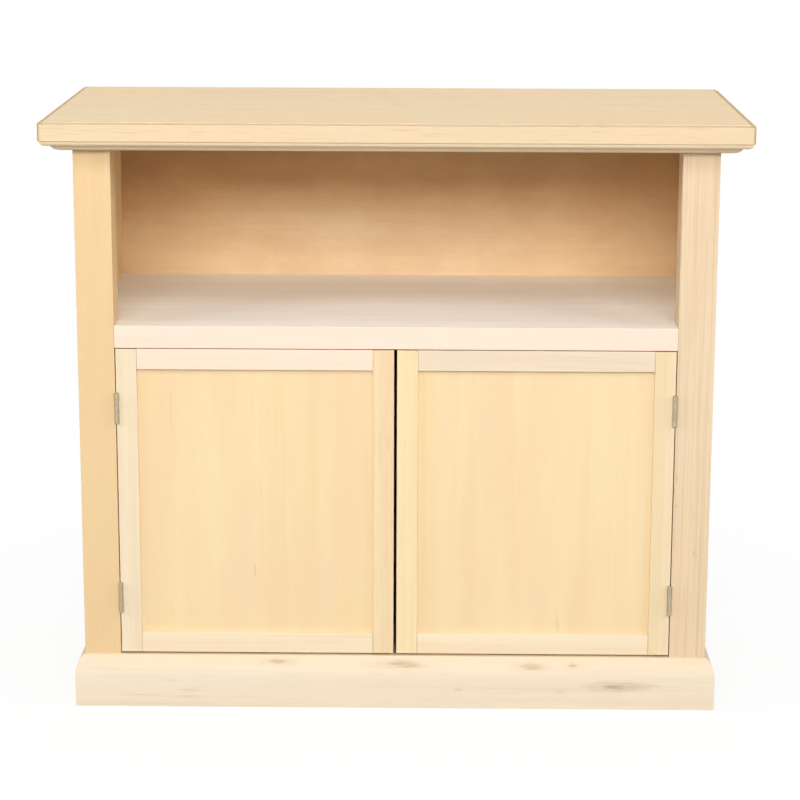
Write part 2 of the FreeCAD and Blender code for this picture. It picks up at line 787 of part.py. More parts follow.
for obj in doc.Objects:
    if "Invalid" in obj.State or "Error" in obj.State:
        raise RuntimeError(f"{obj.Label} failed: {obj.State}")
for before, after in pockets:
    if after.Shape.Volume > before.Shape.Volume - 1e-6:
        raise RuntimeError(f"{after.Label} cuts nothing")
for obj in nodes:
    if obj.Shape.isNull() or not obj.Shape.isValid():
        raise RuntimeError(f"{obj.Label} has no valid shape")

os.makedirs("parts", exist_ok=True)
for obj in nodes:
    obj.Shape.exportStep(f"parts/{obj.Label}.step")
print(len(nodes), "sub-parts written")
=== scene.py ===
import json
import math
from typing import NamedTuple

import bmesh
import bpy
from mathutils import Euler, Matrix, Vector

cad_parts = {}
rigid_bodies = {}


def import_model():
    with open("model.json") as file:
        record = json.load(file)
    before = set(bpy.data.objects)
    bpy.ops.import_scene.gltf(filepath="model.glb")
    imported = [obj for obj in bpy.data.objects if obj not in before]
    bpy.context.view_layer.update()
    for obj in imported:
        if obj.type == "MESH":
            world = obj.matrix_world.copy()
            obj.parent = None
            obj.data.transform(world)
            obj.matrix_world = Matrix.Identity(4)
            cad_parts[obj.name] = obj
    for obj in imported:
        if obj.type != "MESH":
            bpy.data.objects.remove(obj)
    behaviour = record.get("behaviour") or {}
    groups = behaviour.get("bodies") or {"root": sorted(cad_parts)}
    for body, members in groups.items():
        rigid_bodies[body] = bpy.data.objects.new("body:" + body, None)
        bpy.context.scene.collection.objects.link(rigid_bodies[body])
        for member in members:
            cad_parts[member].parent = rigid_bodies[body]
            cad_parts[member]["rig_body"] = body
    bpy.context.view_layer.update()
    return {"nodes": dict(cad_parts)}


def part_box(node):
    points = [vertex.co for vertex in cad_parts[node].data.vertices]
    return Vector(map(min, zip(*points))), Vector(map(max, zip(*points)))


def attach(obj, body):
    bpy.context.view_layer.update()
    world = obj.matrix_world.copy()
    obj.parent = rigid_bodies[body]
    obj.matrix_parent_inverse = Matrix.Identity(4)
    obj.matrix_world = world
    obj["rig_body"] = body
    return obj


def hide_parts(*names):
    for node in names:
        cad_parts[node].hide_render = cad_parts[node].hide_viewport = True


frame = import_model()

MM = 0.001


def paint(red, green, blue):
    """Linear colour from the 0-255 levels of a paint card."""
    def linear(level):
        share = level / 255
        return share / 12.92 if share <= 0.04045 else ((share + 0.055) / 1.055) ** 2.4
    return (linear(red), linear(green), linear(blue), 1.0)


# Finishes, made from nodes.

# How far one step of a seed shifts a noise pattern, along its three axes.
SEED_STEP = (3.7, 5.3, 1.9)


class Amount:
    """A socket that carries a number, so that pattern sums read as plain arithmetic."""

    def __init__(self, finish, socket):
        self.finish = finish
        self.socket = socket

    def reckon(self, operation, first, second):
        return self.finish.node("ShaderNodeMath", {"operation": operation}, {0: first, 1: second})

    def __add__(self, other):
        return self.reckon("ADD", self, other)

    def __radd__(self, other):
        return self.reckon("ADD", other, self)

    def __sub__(self, other):
        return self.reckon("SUBTRACT", self, other)

    def __rsub__(self, other):
        return self.reckon("SUBTRACT", other, self)

    def __mul__(self, other):
        return self.reckon("MULTIPLY", self, other)

    def __rmul__(self, other):
        return self.reckon("MULTIPLY", other, self)

    def __truediv__(self, other):
        return self.reckon("DIVIDE", self, other)

    def __rtruediv__(self, other):
        return self.reckon("DIVIDE", other, self)

    def __pow__(self, other):
        return self.reckon("POWER", self, other)

    def __neg__(self):
        return self.reckon("MULTIPLY", self, -1.0)

    def __abs__(self):
        return self.reckon("ABSOLUTE", self, 0.0)

    def __mod__(self, other):
        return self.reckon("FLOORED_MODULO", self, other)

    def lower(self, other):
        return self.reckon("MINIMUM", self, other)

    def higher(self, other):
        return self.reckon("MAXIMUM", self, other)


class Finish:
    """One material."""

    def __init__(self, name):
        self.material = bpy.data.materials.new(name)
        self.clear()

    def clear(self):
        self.material.use_nodes = True
        self.tree = self.material.node_tree
        self.tree.nodes.clear()

    def node(self, kind, settings=None, sockets=None, output=0):
        made = self.tree.nodes.new(kind)
        for key, value in (settings or {}).items():
            setattr(made, key, value)
        for key, value in (sockets or {}).items():
            if isinstance(value, Amount):
                self.tree.links.new(value.socket, made.inputs[key])
            else:
                made.inputs[key].default_value = value
        return Amount(self, made.outputs[output]) if made.outputs else None

    def place(self):
        return self.node("ShaderNodeTexCoord", output="Object")

    def facing(self):
        return self.split(self.node("ShaderNodeTexCoord", output="Normal"))

    def split(self, vector):
        made = self.node("ShaderNodeSeparateXYZ", sockets={0: vector})
        return [Amount(self, output) for output in made.socket.node.outputs]

    def mapped(self, vector, location=(0, 0, 0), rotation=(0, 0, 0), scale=(1, 1, 1)):
        return self.node("ShaderNodeMapping", {"vector_type": "POINT"}, {
            "Vector": vector, "Location": location, "Rotation": rotation, "Scale": scale})

    def noise(self, vector, waves, seed, detail=2.0, roughness=0.5):
        """Noise from 0 to 1, with so many waves to the metre along each axis."""
        shifted = self.mapped(vector, [seed * step for step in SEED_STEP], scale=waves)
        return self.node("ShaderNodeTexNoise", {"noise_dimensions": "3D"}, {
            "Vector": shifted, "Scale": 1.0, "Detail": detail, "Roughness": roughness})

    def rise(self, value, low, high):
        """0 below low, 1 above high, and a soft step between."""
        return self.node("ShaderNodeMapRange", {"interpolation_type": "SMOOTHSTEP"}, {
            "Value": value, "From Min": low, "From Max": high})

    def blend(self, share, first, second, way="MIX"):
        """Mix of two colours: sockets 6 and 7 of a Mix node take them, and output 2 gives the colour."""
        return self.node("ShaderNodeMix", {"data_type": "RGBA", "blend_type": way}, {
            0: share, 6: first, 7: second}, output=2)

    def brighten(self, colour, amount):
        plain = colour if isinstance(colour, Amount) else colour[:3]
        return self.node("ShaderNodeVectorMath", {"operation": "SCALE"}, {
            0: plain, "Scale": amount})

    def bump(self, height, distance, strength):
        return self.node("ShaderNodeBump", sockets={
            "Strength": strength, "Distance": distance, "Height": height})

    def surface(self, **sockets):
        named = {key.replace("_", " "): value for key, value in sockets.items()}
        self.output(self.node("ShaderNodeBsdfPrincipled", sockets=named))
        return self.material

    def output(self, shader):
        self.node("ShaderNodeOutputMaterial", sockets={"Surface": shader})


# Raw wood.

# Turns that bring a piece's grain onto local X, and the axis that the grain runs along.
GRAIN_TURN = {
    "X": Euler((0, 0, 0)),
    "Y": Euler((0, 0, -math.pi / 2)),
    "Z": Euler((0, math.pi / 2, 0)),
}
GRAIN_AXIS = {"X": 0, "Y": 1, "Z": 2}

# Tones of the boards: pale wood, deeper wood, ring line, streak.
TONES = {
    "amber": (paint(246, 213, 165), paint(240, 202, 149), paint(224, 174, 114), paint(228, 178, 116)),
    "rosy": (paint(244, 218, 184), paint(236, 206, 168), paint(206, 164, 124), paint(172, 134, 104)),
    "cream": (paint(252, 235, 206), paint(249, 226, 192), paint(228, 192, 148), paint(228, 186, 140)),
    "milk": (paint(253, 238, 216), paint(251, 231, 203), paint(234, 203, 166), paint(230, 194, 154)),
    "peach": (paint(252, 226, 186), paint(247, 214, 168), paint(222, 176, 126), paint(212, 160, 112)),
    "straw": (paint(254, 232, 190), paint(250, 223, 174), paint(232, 194, 138), paint(228, 186, 128)),
    "top": (paint(246, 223, 188), paint(241, 215, 177), paint(226, 194, 146), paint(208, 174, 124)),
    # The shelf's tone is a pale, greyish board made paler still, as painted light for what the niche
    # keeps from it.
    "shelf": (paint(252, 246, 240), paint(249, 240, 230), paint(232, 204, 178), paint(226, 194, 166)),
}
# Tints that lie over the tones. Most set a board's own tone; the two palest are painted light, making up
# for the light that the top and the niche keep from the boards they are given to.
TINTS = {
    # The first two tints are painted light.
    "painted_light_neutral": (1.0, 1.0, 1.0),
    "painted_light_pale": (1.02, 1.04, 1.05),
    "plain": (0.86, 0.85, 0.83),
    "dry": (0.82, 0.82, 0.80),
    "light": (0.85, 0.86, 0.86),
    "honey": (0.83, 0.81, 0.77),
    "cool": (0.80, 0.81, 0.86),
    "rosy": (0.94, 0.81, 0.82),
}
CLOUD = paint(250, 219, 180)
# Colour of end grain, also laid as painted shade on upward faces at the top board's worked ends.
END_GRAIN_AND_PAINTED_SHADE = paint(178, 150, 108)
JOINT = paint(176, 132, 84)
# What a knot multiplies the colour of the wood by.
KNOT = (0.5, 0.45, 0.37, 1)


class Mark(NamedTuple):
    """A mark in the wood, cut from noise that follows the rings or the straight grain."""
    follows: str
    waves: tuple        # to the metre, along the grain, across it and through it
    shift: float        # sets the noise apart from that of a board's other marks
    detail: float
    roughness: float
    low: float          # level of the noise where the mark begins
    high: float         # level of the noise where it is full


MARKS = {
    "band": Mark("rings", (0.6, 30, 1), 0.0, 4, 0.62, 0.34, 0.66),
    "line": Mark("rings", (1.0, 95, 1), 1.1, 5, 0.68, 0.48, 0.72),
    "streak": Mark("rings", (1.1, 60, 1), 5.1, 4, 0.6, 0.57, 0.74),
    "vein": Mark("rings", (5.0, 230, 1), 6.4, 3, 0.6, 0.53, 0.68),
    "cloud": Mark("grain", (4, 16, 16), 3.6, 2, 0.5, 0.38, 0.62),
    "rub": Mark("grain", (26, 26, 26), 4.4, 2, 0.5, 0.35, 0.65),
    "dash": Mark("grain", (24, 460, 460), 8.3, 2, 0.5, 0.56, 0.72),
    "pore": Mark("grain", (34, 1150, 1150), 9.2, 1, 0.5, 0.62, 0.78),
    "thread": Mark("grain", (2.4, 330, 330), 10.7, 3, 0.6, 0.46, 0.68),
}
FIBRE_WAVES, FIBRE_SHIFT = (8, 640, 640), 7.7

# Where the middle of the tree lay, across a board and through it, and how the rings wander about it.
HEART_ACROSS, HEART_DEEP = 0.24, 0.05
WANDER_WAVES, WANDER_SHIFT, WANDER = (1.5, 15, 15), 2.3, 16 * MM
KNOT_PUSH = 6 * MM
# How far the pattern of each glued stave is moved along and across, and what keeps its number above 0.
STAVE_ALONG, STAVE_ACROSS, STAVE_COUNT = 2.0, 0.7, 40
# Ragged edge of knots and flecks.
FEATHER_WAVES, FEATHER_SEED, FEATHER = (45, 520, 520), 3.3, 2.2
# Edges and ends: how far in the wear of an arris goes, how far end grain and painted shade show past a
# worked edge, the widths over which they and the painted shade on the front ledge come in, and the seam
# where a rail meets a stile.
WEAR_REACH = 2.2 * MM
END_REACH, END_FADE, LEDGE_FADE = 2.5 * MM, 1.2 * MM, 0.6 * MM
# How far painted shade darkens the front ledge behind the step.
PAINTED_LEDGE_SHADE = 0.32
SEAM_START, SEAM_FULL = 1.1 * MM, 0.3 * MM
END_SHARE, SEAM_SHARE, WEAR_SHARE = 0.8, 0.55, 0.35

WOOD_ROUGHNESS, WOOD_SHEEN, WOOD_RELIEF = 0.66, 0.3, 0.2 * MM


class Figure(NamedTuple):
    """What sets the wood of one board apart. A share of 0 leaves a mark out, and 1 is full strength."""
    lines: float = 0.18         # share of the ring lines
    streaks: float = 0.3        # share of the broad streaks
    veins: float = 0.0          # share of the fine veins along the rings
    combed: float = 0.0         # share of the straight fine threads
    dashes: float = 0.08        # share of the short dashes
    clouds: float = 0.0         # share of the rosy clouds
    # The next share is painted shade, darkening what faces up.
    upper_painted_shade: float = 0.0          # share of the ring lines' colour on what faces up
    fibres: float = 0.05        # how far fibres lighten and darken the wood
    pores: float = 0.05         # how far pores darken it
    grit: float = 0.4           # strength of the relief
    lean: float = 0.02          # how far the rings lean from the length of the board
    staves: tuple = ()          # width and shift of glued strips
    flecks: tuple = ()          # knots and marks on the front, as fleck_mask takes them
    shoulder: float = 0.0       # length of a rail's tenon, with a seam where it goes in
    worked_edge: float = 0.0    # width of the moulding cut along the front and both ends
    # The next colour is painted light on what faces up.
    upper_painted_light: tuple = ()             # colour of a paler upper face


def middle_of(box):
    return (box[0] + box[1]) / 2


def tinted(colour, tint):
    return tuple(level * share for level, share in zip(colour, tint)) + (1.0,)


def grain_frame(finish, box, grain):
    """Distances from the middle of a piece: along its grain, across its width, through it."""
    turn = GRAIN_TURN[grain].to_matrix()
    local = finish.mapped(finish.place(), -(turn @ middle_of(box)), GRAIN_TURN[grain])
    along, first, second = finish.split(local)
    size = turn @ (box[1] - box[0])
    wide_first = abs(size[1]) >= abs(size[2])
    return local, along, first if wide_first else second, second if wide_first else first


def arris_mask(finish, box, reach):
    """1 on the outer edges of a box-shaped piece, fading to 0 a little way in."""
    half = (box[1] - box[0]) / 2
    place = finish.split(finish.mapped(finish.place(), -middle_of(box)))
    gaps = [room - abs(distance) for distance, room in zip(place, half)]
    small = gaps[0].lower(gaps[1])
    large = gaps[0].higher(gaps[1])
    return 1 - finish.rise(small.higher(large.lower(gaps[2])), 0.0, reach)


def fleck_mask(finish, local, flecks):
    """Knots and flecks on a front: (x, z, half width, half height) in mm, and depth from 0 to 1."""
    x, _, z = finish.split(finish.place())
    feathered = (finish.noise(local, FEATHER_WAVES, FEATHER_SEED, 3) - 0.5) * FEATHER
    total = None
    for spot_x, spot_z, wide, high, depth in flecks:
        across = (x - spot_x * MM) / (wide * MM)
        up = (z - spot_z * MM) / (high * MM)
        away = across * across + up * up + feathered
        spot = (1 - finish.rise(away, -0.5, 1.4)) * depth
        total = spot if total is None else total.higher(spot)
    return total


class RawWood(Finish):
    """Planed, unfinished pale wood, patterned along the grain of one piece."""

    def __init__(self, name, box, grain, tone, tint, seed, figure):
        super().__init__(name)
        self.box, self.seed, self.figure, self.tint = box, seed, figure, TINTS[tint]
        self.pale, self.deep, self.line_colour, self.streak_colour = (
            tinted(colour, self.tint) for colour in TONES[tone])
        self.local, self.along, self.across, self.through = grain_frame(self, box, grain)
        self.length_axis = GRAIN_AXIS[grain]
        self.half_size = (box[1] - box[0]) / 2
        self.stave = self.stave_number() if figure.staves else None
        self.fleck = fleck_mask(self, self.local, figure.flecks) if figure.flecks else None
        self.rings = self.ring_place()
        self.line = self.mark("line")
        self.pore = self.mark("pore")
        self.fibre = self.noise(self.local, FIBRE_WAVES, seed + FIBRE_SHIFT)

    def stave_number(self):
        """A number from 0 to 1 for each glued strip."""
        width, shift = self.figure.staves
        count = self.node("ShaderNodeMath", {"operation": "FLOOR"}, {
            0: (self.across + shift) / width + STAVE_COUNT})
        return self.node("ShaderNodeTexWhiteNoise", {"noise_dimensions": "1D"}, {"W": count + self.seed})

    def ring_place(self):
        """Distance along the grain and out from the middle of the tree."""
        along, across = self.along, self.across
        if self.stave:
            along = along + self.stave * STAVE_ALONG
            across = across + self.stave * STAVE_ACROSS
        wander = self.noise(self.local, WANDER_WAVES, self.seed + WANDER_SHIFT) - 0.5
        from_heart = across - HEART_ACROSS + wander * WANDER
        from_plane = self.through - HEART_DEEP + along * self.figure.lean
        radius = (from_heart * from_heart + from_plane * from_plane) ** 0.5
        if self.fleck:
            radius = radius + self.fleck * KNOT_PUSH
        return self.node("ShaderNodeCombineXYZ", sockets={0: along, 1: radius, 2: self.seed})

    def mark(self, name):
        mark = MARKS[name]
        place = self.rings if mark.follows == "rings" else self.local
        noise = self.noise(place, mark.waves, self.seed + mark.shift, mark.detail, mark.roughness)
        return self.rise(noise, mark.low, mark.high)

    def face_colour(self):
        """Colour of the planed faces, with rings, streaks, fibres and knots."""
        figure = self.figure
        band = self.mark("band")
        light = 1 + (self.fibre - 0.5) * figure.fibres - self.pore * figure.pores
        if self.stave:
            band = (band * 0.7 + self.stave * 0.4).lower(1.0)
            light = light + (self.stave - 0.5) * 0.02
        colour = self.blend(band, self.pale, self.deep)
        if figure.clouds:
            colour = self.blend(self.mark("cloud") * figure.clouds, colour, tinted(CLOUD, self.tint))
        colour = self.blend(self.line * figure.lines, colour, self.line_colour)
        for name, share in (("streak", figure.streaks), ("vein", figure.veins),
                            ("thread", figure.combed), ("dash", figure.dashes)):
            if share:
                colour = self.blend(self.mark(name) * share, colour, self.streak_colour)
        colour = self.brighten(colour, light)
        if self.fleck:
            colour = self.blend(self.fleck, colour, KNOT, "MULTIPLY")
        return colour

    def with_edges(self, colour):
        """The colour with ends, worked edges, seams and wear laid over it, painted shade and painted
        light on upward faces and along worked edges, and the mask of end grain and of painted shade at
        worked ends.
        """
        figure = self.figure
        half_length = self.half_size[self.length_axis]
        normal = self.facing()
        # Painted shade: what faces up is darkened with the ring lines' colour.
        if figure.upper_painted_shade:
            colour = self.blend(self.rise(normal[2], 0.05, 0.6) * figure.upper_painted_shade, colour, self.line_colour)
        end = self.rise(abs(normal[self.length_axis]), 0.25, 0.75)
        if figure.worked_edge:
            upward = self.rise(normal[2], 0.1, 0.5)
            end_start = half_length - figure.worked_edge - END_REACH
            front_start = self.half_size.y - figure.worked_edge
            past_end = self.rise(abs(self.along), end_start, end_start + END_FADE)
            past_front = self.rise(-self.across, front_start, front_start + LEDGE_FADE)
            # Painted shade: the end-grain colour also covers the upward faces near the worked ends,
            # partly for end grain and partly for shade on the rounds.
            end = end.higher(past_end * upward)
            # Painted shade: the ledge along the front is darkened, where the step's corner lies in shade.
            colour = self.brighten(colour, 1 - past_front * upward * PAINTED_LEDGE_SHADE)
        # Painted light: what faces up is made paler.
        if figure.upper_painted_light:
            colour = self.blend(self.rise(normal[2], 0.5, 0.9), colour, figure.upper_painted_light)
        colour = self.blend(end * END_SHARE, colour, END_GRAIN_AND_PAINTED_SHADE)
        if figure.shoulder:
            meet = half_length - figure.shoulder
            seam = self.rise(abs(self.along), meet - SEAM_START, meet - SEAM_FULL)
            colour = self.blend(seam * SEAM_SHARE, colour, JOINT)
        worn = arris_mask(self, self.box, WEAR_REACH) * self.mark("rub") * (1 - end)
        return self.blend(worn * WEAR_SHARE, colour, self.pale), end

    def finished(self):
        colour, end = self.with_edges(self.face_colour())
        roughness = WOOD_ROUGHNESS + (self.fibre - 0.5) * 0.24 - self.line * 0.06 + end * 0.12
        height = self.fibre * 0.45 + self.line * 0.25 - self.pore * 0.6
        return self.surface(Base_Color=colour, Roughness=roughness, Specular_IOR_Level=WOOD_SHEEN,
                            Normal=self.bump(height, WOOD_RELIEF, self.figure.grit))


# Plywood, plating and plastic.

VENEER_PALE, VENEER_DEEP = paint(230, 192, 146), paint(221, 178, 132)
VENEER_LINE, VENEER_PORE = paint(196, 142, 92), paint(166, 116, 76)
CORE = paint(176, 130, 88)
CORE_HALF, CORE_EDGE = 0.6 * MM, 0.8 * MM
CONTOURS = 11
# Painted light and shade on the veneer: it is made paler low down, most of all in the middle of the
# width, where light falls into the niche, and darker higher up, where the top's shadow falls.
PAINTED_LIGHT_TINT = (1.1, 1.25, 1.42, 1)
PAINTED_LIGHT_BELOW, PAINTED_LIGHT_GONE = 0.58, 0.64
LIGHT_POOL_HALF, LIGHT_POOL_GONE = 0.05, 0.3
PAINTED_SHADE_FROM, PAINTED_SHADE_FULL, PAINTED_SHADE = 0.635, 0.7, 0.2
LIGHT_EDGE_WOBBLE = 90 * MM
PLY_RELIEF = 0.15 * MM


def back_plywood(name, box):
    """Thin plywood with a peeled reddish face veneer, painted light low down and painted shade higher up,
    and a darker ply between the two faces.
    """
    f = Finish(name)
    place = f.place()
    x, _, z = f.split(place)
    contour = (f.noise(place, (0.7, 4, 9), 4.0, 3) * CONTOURS) % 1.0
    ridge = f.rise(contour, 0.35, 0.85) * (1 - f.rise(contour, 0.88, 1.0))
    cloud = f.rise(f.noise(place, (7, 9, 11), 8.0, 5, 0.65), 0.3, 0.7)
    fibre = f.noise(place, (11, 300, 520), 2.0)
    pore = f.rise(f.noise(place, (55, 900, 1000), 6.0, 1), 0.62, 0.8)
    drift = (f.noise(place, (6, 6, 8), 11.0, 4, 0.6) - 0.5) * LIGHT_EDGE_WOBBLE

    colour = f.blend(cloud, VENEER_PALE, VENEER_DEEP)
    # Painted light: paler low down, most of all in the middle of the width, where light reaches the back
    # of the niche.
    lower = 1 - f.rise(z + drift, PAINTED_LIGHT_BELOW, PAINTED_LIGHT_GONE)
    middle = 1 - f.rise(abs(x) + drift * 4, LIGHT_POOL_HALF, LIGHT_POOL_GONE)
    colour = f.blend(lower * (0.35 + middle * 0.65), colour, PAINTED_LIGHT_TINT, "MULTIPLY")
    # Painted shade: darker higher up, where the top shades the back of the niche.
    upper = f.rise(z + drift, PAINTED_SHADE_FROM, PAINTED_SHADE_FULL)
    colour = f.brighten(colour, 1 - upper * PAINTED_SHADE)
    colour = f.blend(ridge * 0.05, colour, VENEER_LINE)
    colour = f.blend(pore * 0.18, colour, VENEER_PORE)
    colour = f.brighten(colour, 0.95 + fibre * 0.1)

    edge = 1 - f.rise(abs(f.facing()[1]), 0.4, 0.8)
    depth = abs(f.split(f.mapped(place, -middle_of(box)))[1])
    core = 1 - f.rise(depth, CORE_HALF, CORE_EDGE)
    colour = f.blend(edge * (0.25 + core * 0.6), colour, CORE)
    return f.surface(Base_Color=colour, Roughness=0.68 + (fibre - 0.5) * 0.2,
                     Specular_IOR_Level=WOOD_SHEEN,
                     Normal=f.bump(fibre * 0.5 - pore * 0.8, PLY_RELIEF, 0.4))


ROLLING_WAVES, PLATING_WAVES = (3000, 3000, 200), (140, 140, 140)
SPARK_WAVES, TONE_WAVES = (2600, 2600, 2600), (60, 60, 60)
PLATING_RELIEF, SPARK_RELIEF = 0.02 * MM, 0.03 * MM
PLASTIC_ROUGHNESS = 0.42


def plated_steel(name, colour, dull, seed):
    """Plated steel with fine rolling marks and a cloudy, handled plating."""
    f = Finish(name)
    place = f.place()
    rolled = f.noise(place, ROLLING_WAVES, seed)
    cloud = f.noise(place, PLATING_WAVES, seed + 3.0, 3)
    plating = f.brighten(colour, 0.86 + cloud * 0.2 + rolled * 0.08)
    roughness = dull + (cloud - 0.5) * 0.22 + (rolled - 0.5) * 0.12
    return f.surface(Base_Color=plating, Metallic=1.0, Roughness=roughness,
                     Normal=f.bump(rolled, PLATING_RELIEF, 0.35))


def moulded_plastic(name, colour, seed):
    """Matt moulded plastic with a fine spark texture."""
    f = Finish(name)
    spark = f.noise(f.place(), SPARK_WAVES, seed, 1)
    cloud = f.noise(f.place(), TONE_WAVES, seed + 2.0)
    return f.surface(Base_Color=f.brighten(colour, 0.95 + cloud * 0.1),
                     Roughness=PLASTIC_ROUGHNESS + (spark - 0.5) * 0.2,
                     Normal=f.bump(spark, SPARK_RELIEF, 0.3))


# Pieces, shaped as a joiner would shape them.

BOARD_ARRIS, MOULDING_ARRIS = 0.5 * MM, 0.3 * MM
SHORTEST_ARRIS, SHORTEST_STRIP_ARRIS = 6 * MM, 20 * MM
WELD, CUT_WELD = 1e-6, 1e-7
FLAT_ANGLE = 0.5
ROUND_STEPS = 12


def shade(mesh, angle=32):
    """Smooth shading across shallow edges only."""
    for face in mesh.polygons:
        face.use_smooth = True
    mesh.set_sharp_from_angle(angle=math.radians(angle))


def stand_for(shell, node, material):
    """Makes a shell an object, in the place of a CAD node and on its body."""
    mesh = bpy.data.meshes.new(node + "_mesh")
    shell.to_mesh(mesh)
    shell.free()
    shade(mesh)
    piece = bpy.data.objects.new("made_" + node, mesh)
    bpy.context.scene.collection.objects.link(piece)
    mesh.materials.append(material)
    flat = piece.modifiers.new("flat faces stay flat", "WEIGHTED_NORMAL")
    flat.keep_sharp = True
    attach(piece, frame["nodes"][node]["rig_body"])
    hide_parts(node)


def soften(shell, edges, arris, segments=2):
    bmesh.ops.bevel(shell, geom=edges, offset=arris, offset_type="OFFSET", affect="EDGES",
                    segments=segments, profile=0.5, material=-1, clamp_overlap=False)


def sharp_edges(shell, shortest, angle=40):
    return [edge for edge in shell.edges if edge.is_convex and edge.calc_length() > shortest
            and edge.calc_face_angle(0) > math.radians(angle)]


def cut_off(shell, spot, outward):
    """Saws off what lies outward of a plane, and closes the cut."""
    everything = shell.verts[:] + shell.edges[:] + shell.faces[:]
    bmesh.ops.bisect_plane(shell, geom=everything, dist=CUT_WELD, plane_co=spot, plane_no=outward,
                           clear_outer=True)
    bmesh.ops.edgeloop_fill(shell, edges=[edge for edge in shell.edges if edge.is_boundary])


def eased(node, material):
    """Copy of a CAD solid with its long arrises softened, as sandpaper leaves them."""
    shell = bmesh.new()
    shell.from_mesh(frame["nodes"][node].data)
    bmesh.ops.remove_doubles(shell, verts=shell.verts, dist=WELD)
    bmesh.ops.dissolve_limit(shell, angle_limit=math.radians(FLAT_ANGLE), verts=shell.verts,
                             edges=shell.edges)
    soften(shell, sharp_edges(shell, SHORTEST_ARRIS), BOARD_ARRIS)
    stand_for(shell, node, material)


def section(corners):
    """Closed face in the YZ plane. A corner (y, z, cy, cz) starts a round about that centre."""
    shell = bmesh.new()
    tip = shell.verts.new((0, corners[0][0], corners[0][1]))
    for here, there in zip(corners, corners[1:] + corners[:1]):
        if len(here) == 4:
            centre = Vector((0, here[2], here[3]))
            first = Vector((0, here[0], here[1])) - centre
            last = Vector((0, there[0], there[1])) - centre
            angle = first.angle(last) * (1 if first.cross(last).x > 0 else -1)
            made = bmesh.ops.spin(shell, geom=[tip], cent=centre, axis=(1, 0, 0), angle=angle,
                                  steps=ROUND_STEPS)
            tip = made["geom_last"][0]
        else:
            made = bmesh.ops.extrude_vert_indiv(shell, verts=[tip])
            tip = made["verts"][0]
            bmesh.ops.translate(shell, verts=[tip],
                                vec=(0, there[0] - here[0], there[1] - here[1]))
    bmesh.ops.remove_doubles(shell, verts=shell.verts, dist=WELD)
    bmesh.ops.edgeloop_fill(shell, edges=shell.edges)
    return shell


def strip(corners, start, end, mitres):
    """A moulding along X from its section, arrises eased, cut to mitres at the ends named."""
    shell = section(corners)
    bmesh.ops.translate(shell, verts=shell.verts, vec=(start, 0, 0))
    made = bmesh.ops.extrude_face_region(shell, geom=shell.faces[:])
    moved = [part for part in made["geom"] if isinstance(part, bmesh.types.BMVert)]
    bmesh.ops.translate(shell, verts=moved, vec=(end - start, 0, 0))
    bmesh.ops.recalc_face_normals(shell, faces=shell.faces)
    soften(shell, sharp_edges(shell, SHORTEST_STRIP_ARRIS, angle=35), MOULDING_ARRIS)
    for at, outward in mitres:
        cut_off(shell, (at, 0, 0), (outward, 1, 0))
    return shell


def run_round(name, corners, materials):
    """Front strip and both side strips of a moulding, mitred at the front corners."""
    (_, front, low), (half, _, _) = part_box(name + "_front")
    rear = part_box(name + "_left")[1].y
    shell = strip(corners, -half, half, ((-half, -1), (half, 1)))
    bmesh.ops.translate(shell, verts=shell.verts, vec=(0, front, low))
    stand_for(shell, name + "_front", materials[name + "_front"])
    for side, sign in (("left", -1), ("right", 1)):
        shell = strip(corners, 0, rear - front, ((0, -1),))
        place = Matrix(((0, -sign, 0, sign * half), (1, 0, 0, front), (0, 0, 1, low), (0, 0, 0, 1)))
        bmesh.ops.transform(shell, matrix=place, verts=shell.verts)
        bmesh.ops.recalc_face_normals(shell, faces=shell.faces)
        stand_for(shell, f"{name}_{side}", materials[f"{name}_{side}"])


def moulded_top(material):
    """Top board: a step, a ledge and a round along the upper edge of the front and both ends."""
    low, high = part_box("top_board")
    step, ledge, round_over, under, crown_arris = 1.5 * MM, 2.5 * MM, 2.5 * MM, 1.5 * MM, 0.3 * MM
    corner, spare = 6 * MM, 30 * MM
    size = high - low
    shell = bmesh.new()
    bmesh.ops.create_cube(shell, size=1)
    bmesh.ops.scale(shell, vec=(size.x, size.y + spare, size.z - step), verts=shell.verts)
    bmesh.ops.translate(shell, vec=(0, spare / 2, (size.z - step) / 2), verts=shell.verts)

    def rim(level):
        return [edge for edge in shell.edges if all(abs(v.co.z - level) < WELD for v in edge.verts)]

    upright = [edge for edge in shell.edges if abs(edge.verts[0].co.z - edge.verts[1].co.z) > MM]
    soften(shell, upright, corner, segments=6)
    soften(shell, rim(size.z - step), round_over, segments=6)
    soften(shell, rim(0.0), under, segments=3)
    crown = max(shell.faces, key=lambda face: (round(face.calc_center_median().z, 5), face.calc_area()))
    bmesh.ops.inset_region(shell, faces=[crown], thickness=ledge, use_even_offset=True,
                           use_boundary=True)
    made = bmesh.ops.extrude_discrete_faces(shell, faces=[crown])
    bmesh.ops.translate(shell, vec=(0, 0, step), verts=made["faces"][0].verts)
    soften(shell, rim(size.z), crown_arris)
    middle = middle_of((low, high))
    bmesh.ops.translate(shell, vec=(middle.x, middle.y, low.z), verts=shell.verts)
    cut_off(shell, (0, high.y, 0), (0, 1, 0))
    stand_for(shell, "top_board", material)


